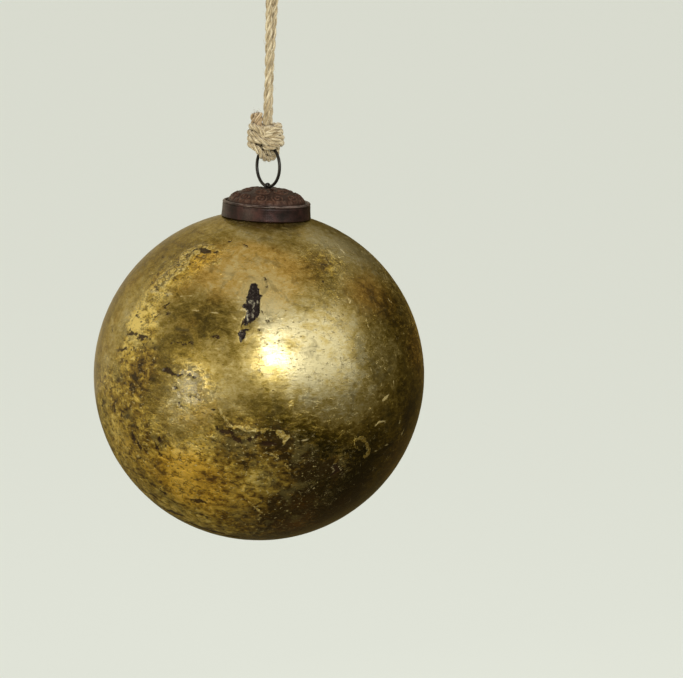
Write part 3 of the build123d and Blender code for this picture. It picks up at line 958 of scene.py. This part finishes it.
# Pale scratches, and scraps of leaf left in the big chip
TICKS = [
    [(-51.1, 34.3, 0.5), (-44, 34.4, 0.3), (-39.7, 35, 0.4)], [(-35, 35, 0.25), (-27, 35.4, 0.35)],
    [(-28.4, 30, 0.25), (-24.5, 30.3, 0.3)], [(-22.5, 30.2, 0.25), (-16.8, 30.1, 0.35)],
    [(-12.6, 31.9, 0.25), (-11.6, 32.6, 0.25), (-9.8, 32.3, 0.25), (-6.8, 32.2, 0.5)],
    [(-10.6, 29.5, 0.5), (-10.1, 29.2, 0.4)], [(-4.9, 35.6, 0.8), (-4.2, 35.3, 0.8)],
    [(-6.2, 32.8, 0.5), (-5.6, 31.4, 0.8), (-5.3, 29.6, 0.5), (-5.2, 28, 0.4)],
    [(-3.1, 35, 0.4), (-3.8, 33.6, 0.45), (-3.1, 32.4, 0.4), (-4.1, 31, 0.5), (-3.4, 30, 0.4)],
    [(-4.6, 38.4, 0.25), (-3.2, 38.6, 0.3)], [(-2, 35.8, 0.35), (-1.9, 34.6, 0.25)],
    [(-7.6, 25, 0.5), (-7.2, 24.6, 0.4)], [(-5.6, 23.6, 0.3), (-5.4, 22.2, 0.4)],
    [(12.9, -7.2, 0.25), (14.5, -6.8, 0.35), (16.7, -7.6, 0.3)],
    [(15.2, -10.7, 0.3), (17.7, -10.8, 0.4)], [(72.4, 37, 0.4), (73.4, 34.8, 0.35)],
    [(63.2, 34.6, 0.45), (64.2, 32.8, 0.35)], [(66.4, 29.6, 0.4), (66.8, 28.6, 0.3)],
    [(43.8, 30.6, 0.3), (43.4, 27.8, 0.25), (43.1, 25.7, 0.35)], [(47.4, 21.9, 0.35), (47, 19.2, 0.3)],
    [(63.6, 21.9, 0.45), (63.8, 21.1, 0.45)],
    [(46.4, 14.9, 0.3), (48.2, 13.6, 0.35), (48.2, 11.8, 0.35), (47.4, 10.9, 0.3)],
    [(40.6, 13, 0.3), (41.2, 11.2, 0.3)], [(43.7, 56.6, 0.4), (43.4, 55, 0.5)],
    [(54.7, 56.4, 0.5), (54, 54.6, 0.4)], [(31, 40.6, 0.35), (32.2, 39.6, 0.45), (31.2, 39, 0.3)],
    [(37.5, 36.4, 0.3), (38.6, 35.4, 0.45), (38, 34.4, 0.3)],
    [(46.2, 0.4, 0.6), (47.4, 1.4, 0.9), (49, 2.2, 0.5)],
    [(43.4, -7.6, 0.35), (45.4, -6.4, 0.5), (48.3, -6.9, 0.4)],
    [(61.2, -13.4, 0.45), (62.4, -11.2, 0.5)], [(57.4, -8.7, 0.45), (58, -7.6, 0.45)],
    [(45.5, -17.5, 0.3), (50.5, -16.2, 0.2), (56.2, -15.4, 0.25)],
    [(10.4, -45.6, 0.5), (10.8, -45.2, 0.4)], [(23, -30.4, 0.5), (23.4, -30, 0.4)],
    [(28, -21.4, 0.3), (29.6, -22.6, 0.3), (29, -24, 0.3)], [(31.2, -21.6, 0.3), (32.4, -23, 0.3)],
    [(52, 7, 0.3), (52.4, 4.6, 0.3)], [(58, -2, 0.3), (59, -4, 0.3)],
]
# Round pits, as (degrees right, degrees up, radius in mm). Each is a very short crack
PITS = [
    (-25.6, 2, 0.7), (-25.2, 3.4, 0.5), (-21.8, 9.8, 0.5), (-20.3, 8.7, 0.5), (-24.2, 8.8, 0.6),
    (-22.6, 8.2, 0.6), (-28.6, 4.4, 0.7), (-19.7, 4.6, 0.5), (-21, 1.8, 0.5), (-19.8, 1.4, 0.6),
    (-22.3, 2.9, 0.5), (-22.6, 1.5, 0.5), (-25.9, -1.3, 0.6), (-27.2, -0.2, 0.5), (-15.2, -1.6, 0.7),
    (130, 4, 0.8), (134, 1, 0.6), (-122, 12, 0.8), (-170, 22, 0.7), (-166, 19, 0.9),
]
CRACKS += [[(right, up, radius), (right + 0.4, up, radius)] for right, up, radius in PITS]


# ---- the ball's shape

def patches(normals, table):
    """Sum of soft round patches at each unit vector."""
    total = np.zeros(len(normals))
    for right, up, spread, strength in table:
        towards = np.array(direction(right, up))
        away = np.degrees(np.arccos(np.clip(normals @ towards, -1, 1)))
        total += strength * np.exp(-0.5 * (away / spread) ** 2)
    return total


def on_ball(right, up):
    """A place on the ball, in mm from its centre."""
    return np.array(direction(right, up)) * BALL_RADIUS / MM


def stroke_depth(mm, strokes):
    """How far inside the nearest stroke each point is, in mm. It is below 0 outside them."""
    deepest = np.full(len(mm), -9.0)
    for stroke in strokes:
        for start, end in zip(stroke, stroke[1:]):
            first, second = on_ball(*start[:2]), on_ball(*end[:2])
            run = second - first
            share = np.clip((mm - first) @ run / (run @ run), 0, 1)
            away = np.linalg.norm(mm - first - share[:, None] * run, axis=1)
            width = start[2] + (end[2] - start[2]) * share
            deepest = np.maximum(deepest, width - away)
    return deepest


NECK_RADIUS = CAP_RADIUS - 0.002
NECK_BORE = NECK_RADIUS - GLASS_WALL
SHOULDER_FILLET = 0.0010
LIP_ROUND = 0.0009              # height of the neck's rounded lip
GLOBE_RINGS, INNER_RINGS, GLOBE_AROUND = 232, 24, 364
FRONT_CROWDING = 0.48           # how much finer the mesh is at the front
STEADY, LOOSE = 1.6, 3.4        # how far strokes wander from their points, in mm
PLAIN_ABOVE = (15.5, 19.5)      # the ball is smooth within so many degrees of its top, by the neck


def sphere_outline(radius, first, last, shares):
    """(radius, height) points of a circle, between two angles from its top."""
    turns = first + (last - first) * shares
    return list(zip(radius * np.sin(turns), radius * np.cos(turns)))


def globe_profile():
    """(radius, height) points from the outside's bottom, up the neck, and down the inside."""
    neck_top = globe_high.z - BALL_CENTRE.z
    shoulder = asin((NECK_RADIUS + 0.7 * SHOULDER_FILLET) / BALL_RADIUS)
    outside = sphere_outline(BALL_RADIUS, pi, shoulder, np.arange(1, GLOBE_RINGS + 1) / GLOBE_RINGS)
    top_z = outside[-1][1]
    neck = [(NECK_RADIUS + 0.25 * SHOULDER_FILLET, top_z + 0.35 * SHOULDER_FILLET),
            (NECK_RADIUS, top_z + SHOULDER_FILLET)]
    neck += [(NECK_RADIUS, neck_top - down) for down in (0.0040, 0.0024, LIP_ROUND)]
    for turn in pi * np.arange(1, 6) / 6:
        neck.append((NECK_BORE + GLASS_WALL * (1 + cos(turn)) / 2,
                     neck_top - LIP_ROUND * (1 - sin(turn))))
    neck += [(NECK_BORE, neck_top - down) for down in (LIP_ROUND, 0.0030, 0.0055)]
    inner = BALL_RADIUS - GLASS_WALL
    mouth = asin(NECK_BORE / inner)
    inside = sphere_outline(inner, mouth, pi, np.arange(INNER_RINGS) / INNER_RINGS)
    return outside, neck, inside


def crowd_the_front(points):
    """Turns each point about Z so that the mesh is finest at the front, where the marks are."""
    front = FRONT_AZIMUTH - pi / 2
    angle = np.arctan2(points[:, 1], points[:, 0]) - front
    angle = angle - FRONT_CROWDING * np.sin(angle) + front
    radius = np.hypot(points[:, 0], points[:, 1])
    return np.stack([radius * np.cos(angle), radius * np.sin(angle), points[:, 2]], 1)


def globe_mesh():
    """Points about the ball's centre, faces, each face's material, and which points are outside."""
    outside, neck, inside = globe_profile()
    profile = outside + neck + inside
    points, faces = turned_mesh(profile, GLOBE_AROUND)
    silvered_from = (len(outside) + len(neck) - 4) * GLOBE_AROUND
    slots = [1 if face[0] >= silvered_from else 0 for face in faces]
    points = crowd_the_front(points)
    bottom, inner_bottom = len(points), len(points) + 1
    points = np.vstack([points, [0, 0, -BALL_RADIUS], [0, 0, -(BALL_RADIUS - GLASS_WALL)]])
    last = (len(profile) - 1) * GLOBE_AROUND
    for step in range(GLOBE_AROUND):
        following = (step + 1) % GLOBE_AROUND
        faces.append((bottom, following, step))
        faces.append((inner_bottom, last + step, last + following))
        slots += [0, 1]
    outer = np.zeros(len(points), bool)
    outer[: len(outside) * GLOBE_AROUND] = True
    outer[bottom] = True
    return points, faces, slots, outer


def globe_marks(normals, mm, ragged):
    """Each mark's strength, or its depth in mm, at each vertex."""
    broken = fractal(mm / 2.6, 75, 2) - 0.5
    wander = np.stack([fractal(mm / 3.4, seed, 3) - 0.5 for seed in (61, 64, 67)], 1)
    crust = patches(normals, CRUST_PATCHES) * (0.35 + 1.3 * fractal(mm / 8, 11))
    # Partly the leaf's own tone, partly painted highlights, painted reflection and painted shade.
    shade = patches(normals, PALE_TONE_AND_PAINTED_HIGHLIGHTS) - patches(normals, DARK_TONE_AND_PAINTED_SHADE)
    return {
        "crust": np.clip(crust, 0, 1),
        "shade": shade + 0.9 * (fractal(mm / 22, 23) - 0.5),
        "warm": patches(normals, WARM_PATCHES) + 1.2 * (fractal(mm / 15, 27) - 0.5),
        "scuffed": patches(normals, SCUFFED_PATCHES) + 0.5 * (fractal(mm / 9, 29) - 0.5),
        "chip": stroke_depth(mm + STEADY * wander, CHIPS) + 1.5 * ragged,
        "ridge": stroke_depth(mm + LOOSE * wander, RIDGES) + 1.2 * ragged + 0.8 * broken,
        "crack": stroke_depth(mm + LOOSE * wander, CRACKS) + 0.7 * ragged + 0.5 * broken,
        "tick": stroke_depth(mm + STEADY * wander, TICKS) + 0.7 * ragged,
    }


def globe_height(mm, marks, ragged):
    """How far the leaf stands out from the round glass, in mm."""
    lumps = fractal(mm / np.array([3.0, 3.0, 2.2]), 31, 4)
    ridges = 1 - np.abs(2 * lumps - 1)
    height = 0.30 * (fractal(mm / 45, 51, 2) - 0.5)
    height += 0.10 * (fractal(mm / np.array([5, 5, 2.2]), 41, 3) - 0.5)
    height += marks["crust"] * 0.55 * (ridges - 0.6)
    height += 0.34 * smooth_step(-0.5, 0.5, marks["ridge"])
    height -= 0.36 * smooth_step(-0.4, 0.5, marks["crack"])
    height -= (0.36 - 0.24 * ragged) * smooth_step(-0.2, 0.5, marks["chip"])
    return height


def make_globe():
    points, faces, slots, outer = globe_mesh()
    normals = points / np.maximum(np.linalg.norm(points, axis=1, keepdims=True), 1e-9)
    mm = normals * (BALL_RADIUS / MM)
    ragged = fractal(mm / 1.5, 71, 3) - 0.5
    marks = globe_marks(normals, mm, ragged)
    from_top = np.degrees(np.arccos(np.clip(normals[:, 2], -1, 1)))
    height = globe_height(mm, marks, ragged) * smooth_step(*PLAIN_ABOVE, from_top) * outer
    points = points + normals * (height * MM)[:, None] + np.array(BALL_CENTRE)
    piece = mesh_object("globe_leafed_glass", points, faces, gold_leaf())
    piece.data.materials.append(silvered_inside())
    piece.data.polygons.foreach_set("material_index", slots)
    for name, values in marks.items():
        add_values(piece, name, values)
    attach(piece, "globe")
    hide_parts("glass_globe")


# ---- the ball's material

DARK_STAIN = (0.040, 0.024, 0.007)
CRACK_BROWN = (0.028, 0.011, 0.005)
PALE_NICK = (0.60, 0.49, 0.25)
PALE_FLECK = (0.86, 0.74, 0.36)
OLIVE_BRUISE = (0.120, 0.098, 0.040)
OLIVE_FOIL = (0.25, 0.205, 0.070)
GILT_EDGE = (0.55, 0.47, 0.24)


class LeafGraph(Graph):
    """The nodes of the leaf, with the vertex marks and the noises that its layers share."""

    def __init__(self):
        super().__init__(bpy.data.materials.new("gold_leaf"))
        for name in ("crust", "shade", "warm", "scuffed", "chip", "ridge", "crack", "tick"):
            setattr(self, name, self.attribute(name))
        self.everywhere = self.place()
        flat = self.place((1, 1, 1.5))
        self.fine = self.math("SUBTRACT", self.noise(self.everywhere, 1.4, 4, 0.6), 0.5)
        self.blotch = self.noise(self.everywhere, 0.060, 5, 0.62, 0.6)
        self.mottle = self.noise(flat, 0.19, 6, 0.70, 0.6)
        self.cloud = self.noise(self.place((0.7, 0.7, 1.3)), 0.50, 5, 0.70, 0.4)
        self.grain = self.noise(self.place((0.7, 0.7, 1.8)), 1.5, 3, 0.65)
        self.coarse = self.noise(flat, 0.26, 4, 0.58, 0.5)
        self.glow = self.weighed(self.warm, (self.fine, 0.8))
        self.rough_part = self.between(
            self.weighed(self.crust, (self.fine, 0.7), (self.cloud, 1.2)), 0.70, 1.15)
        drift = self.noise(self.everywhere, 0.42, output="Color")
        drifted = self.node("ShaderNodeVectorMath", {0: drift, 1: (3.4, 3.4, 3.4), 2: self.everywhere},
                            operation="MULTIPLY_ADD").outputs[0]
        flakes = self.place((1, 1, 1.5), drifted)
        self.flake_tone = self.channel(self.cells(flakes, 0.42).outputs["Color"], 1)
        gaps = self.cells(flakes, 0.29, "DISTANCE_TO_EDGE").outputs["Distance"]
        self.gaps = self.weighed(gaps, (self.fine, 0.10))

    def sharpened(self, depth, low, high):
        """A stroke's mask with a ragged edge."""
        return self.between(self.weighed(depth, (self.fine, 1.5)), low, high)

    def contours(self, value, wide):
        """Thin wandering lines where the value is near a half."""
        away = self.math("ABSOLUTE", self.math("SUBTRACT", value, 0.5))
        return self.inverse(self.between(away, 0.4 * wide, wide))

    def specks(self, scale, size, amount, stretch):
        """Scattered spots: cells per mm, size within a cell, and the share of cells that have one."""
        made = self.cells(self.place(stretch), scale).outputs
        spot = self.inverse(self.between(made["Distance"], 0.55 * size, size))
        chance = self.channel(made["Color"], 0)
        return self.times(spot, self.math("LESS_THAN", chance, amount))


def satin_leaf(g):
    """Smooth leaf, from olive-brown to pale gold, warmer in places."""
    # The tone takes in the painted highlights, painted reflection and painted shade of the pale and
    # dark patches.
    tone = g.weighed(-0.48, (g.blotch, 0.60), (g.mottle, 0.78), (g.cloud, 0.48), (g.grain, 0.34),
                     (g.shade, 0.22))
    leaf = g.ramp(tone, (0.16, 0.030, 0.022, 0.002), (0.38, 0.116, 0.080, 0.009),
                  (0.55, 0.28, 0.200, 0.038), (0.72, 0.47, 0.365, 0.125), (0.92, 0.62, 0.55, 0.32))
    orange = g.ramp(tone, (0.16, 0.045, 0.023, 0.003), (0.38, 0.180, 0.096, 0.012),
                    (0.55, 0.45, 0.255, 0.040), (0.75, 0.72, 0.47, 0.115), (0.92, 0.80, 0.62, 0.26))
    leaf = g.mix(g.times(g.between(g.glow, 0.10, 0.95), 0.85), leaf, orange)
    bruised = g.between(g.noise(g.place((0.8, 1, 1)), 0.13, 5, 0.68, 0.8), 0.51, 0.66)
    return g.mix(g.times(bruised, 0.42), leaf, OLIVE_BRUISE)


def crusty_foil(g):
    """Flakes of leaf, each its own tone."""
    # The tone takes in the painted highlights, painted reflection and painted shade of the pale and
    # dark patches.
    tone = g.weighed(-0.80, (g.coarse, 1.25), (g.flake_tone, 0.14), (g.blotch, 0.70),
                     (g.mottle, 0.55), (g.grain, 0.14), (g.shade, 0.22))
    foil = g.ramp(tone, (0.16, 0.040, 0.022, 0.004), (0.36, 0.19, 0.115, 0.018),
                  (0.52, 0.37, 0.250, 0.042), (0.66, 0.60, 0.43, 0.085), (0.85, 0.88, 0.69, 0.22))
    greenish = g.between(g.noise(g.everywhere, 0.10, 4, 0.65), 0.50, 0.62)
    foil = g.mix(g.times(greenish, 0.50), foil, OLIVE_FOIL)
    burnt = g.mix(g.between(tone, 0.2, 0.8), (0.20, 0.075, 0.006), (0.95, 0.56, 0.050))
    return g.mix(g.times(g.between(g.glow, 0.2, 1.0), 0.64), foil, burnt)


def rubbed_through(g):
    """Where small dark pits, creases, dots and hairlines show."""
    creases = g.times(g.inverse(g.between(g.gaps, 0.02, 0.10)),
                      g.between(g.noise(g.everywhere, 0.22, 3, 0.6), 0.48, 0.64))
    pits = g.times(g.specks(0.44, 0.38, 0.36, (1, 1, 1.5)), g.between(g.rough_part, 0.3, 0.9))
    blobs = g.times(g.between(g.weighed(g.coarse, (g.fine, -0.10)), 0.41, 0.37), g.rough_part)
    dots = g.times(g.specks(0.44, 0.16, 0.16, (0.6, 0.6, 1.4)), 0.8)
    dashes = g.between(g.noise(g.place((0.30, 0.30, 1.9)), 1.0, 4, 0.65), 0.37, 0.32)
    lines = g.contours(g.noise(g.place((1, 1, 1.3)), 0.16, 5, 0.68, 0.5), 0.010)
    hairlines = g.times(lines, g.between(g.noise(g.everywhere, 0.09, 3, 0.5), 0.50, 0.58))
    return g.most(g.times(pits, 0.95), g.times(blobs, 0.70), g.times(creases, g.rough_part), dots,
                  g.times(dashes, 0.55), g.times(hairlines, g.between(g.crust, -0.05, 0.5)))


def standing_scales_and_painted_highlight(g):
    """Colours of the flakes that stand up in the wrinkles. They are paler than the leaf: partly their
    own colour, partly a painted highlight on their raised edges.
    """
    tone = g.weighed(0.0, (g.noise(g.everywhere, 0.8, 4, 0.65), 1.0), (g.flake_tone, 0.10))
    return g.ramp(tone, (0.36, 0.26, 0.17, 0.035), (0.52, 0.62, 0.45, 0.105),
                  (0.68, 0.88, 0.74, 0.33))


def split_open(g):
    """The cracks, and the splits between the standing flakes."""
    splits = g.times(g.inverse(g.between(g.gaps, 0.06, 0.15)), g.between(g.ridge, 0.35, 1.0))
    return g.most(g.times(splits, 0.6), g.sharpened(g.crack, -0.25, 0.10))


def pale_scratches(g):
    """The long scratches, and fine nicks and threads where the leaf is scuffed and dark."""
    threads = g.contours(g.noise(g.place((1.0, 1.0, 0.8)), 0.33, 4, 0.68, 0.8), 0.012)
    threads = g.times(threads, g.between(g.noise(g.everywhere, 0.30, 3, 0.6), 0.57, 0.64))
    nicks = g.between(g.noise(g.place((1.9, 1.9, 0.42)), 1.0, 3, 0.6), 0.765, 0.80)
    gate = g.times(g.between(g.shade, 0.35, -0.45), g.between(g.scuffed, 0.25, 0.75))
    scratch = g.between(g.weighed(g.tick, (g.fine, 0.6)), -0.22, 0.12)
    return g.most(scratch, g.times(g.most(threads, nicks), gate))


def chip_interior(g, bright):
    """Near-black glass with scraps of leaf. Also where the scraps are."""
    crumbs = g.noise(g.place((1.1, 1.1, 0.8)), 0.8, 4, 0.75)
    remains = g.weighed(-0.20, (crumbs, 1.35), (bright, 0.20))
    colour = g.ramp(remains, (0.34, 0.005, 0.002, 0.003), (0.50, 0.016, 0.009, 0.012),
                    (0.62, 0.055, 0.045, 0.040), (0.74, 0.19, 0.17, 0.12), (0.90, 0.42, 0.38, 0.27))
    return colour, g.between(remains, 0.56, 0.70)


def gold_leaf():
    """Worn gold leaf on glass: satin and cloudy, crusty in places, cracked, and bare in chips."""
    g = LeafGraph()
    worn, cracked, bright = rubbed_through(g), split_open(g), pale_scratches(g)
    lifted = g.sharpened(g.ridge, -0.20, 0.20)
    bare = g.sharpened(g.chip, -0.40, -0.15)
    interior, scraps = chip_interior(g, bright)
    flecks = g.between(g.noise(g.place((0.8, 0.8, 1.2)), 0.85, 3, 0.6), 0.62, 0.68)

    colour = g.mix(g.rough_part, satin_leaf(g), crusty_foil(g))
    colour = g.mix(g.times(g.times(flecks, g.rough_part), 0.65), colour, PALE_FLECK)
    colour = g.mix(g.times(worn, 0.80), colour, DARK_STAIN)
    # Painted highlight in part: the standing flakes are paler than the leaf round them.
    colour = g.mix(g.times(lifted, 0.72), colour, standing_scales_and_painted_highlight(g))
    colour = g.mix(g.times(cracked, 0.94), colour, CRACK_BROWN)
    colour = g.mix(g.times(bright, 0.52), colour, PALE_NICK)
    colour = g.mix(bare, colour, interior)

    worn = g.most(worn, cracked)
    rough = g.weighed(0.24, (g.mottle, 0.14), (g.rough_part, 0.16), (worn, 0.14))
    dull = g.most(g.times(bare, 0.3), g.times(worn, 0.2), g.times(bright, 0.5))
    metal = g.times(g.weighed(0.97, (g.rough_part, -0.14)), g.inverse(dull))
    bumps = g.weighed(0.0, (g.coarse, 1.2), (g.flake_tone, 0.16), (g.grain, 0.20))
    height = g.weighed(
        0.0, (g.cloud, 0.14), (g.grain, 0.045), (worn, -0.15), (lifted, 0.20), (bare, -0.16),
        (g.times(bare, scraps), 0.20), (bright, 0.08), (g.times(g.rough_part, bumps), 0.70),
        (cracked, -0.15))
    return g.finish(
        Base_Color=colour, Roughness=g.blend(bare, rough, 0.34), Metallic=metal,
        Normal=g.bump(height, 0.8), Specular_Tint=GILT_EDGE, Coat_Weight=0.40, Coat_Roughness=0.14)


def silvered_inside():
    """The inside of the glass, silvered and dull."""
    g = material_graph("silvered_inside")
    spots = g.noise(g.place(), 0.4, 4, 0.6)
    colour = g.ramp(spots, (0.35, 0.10, 0.09, 0.075), (0.6, 0.38, 0.36, 0.31))
    return g.finish(Base_Color=colour, Roughness=g.blend(spots, 0.25, 0.5), Metallic=0.85)


make_globe()
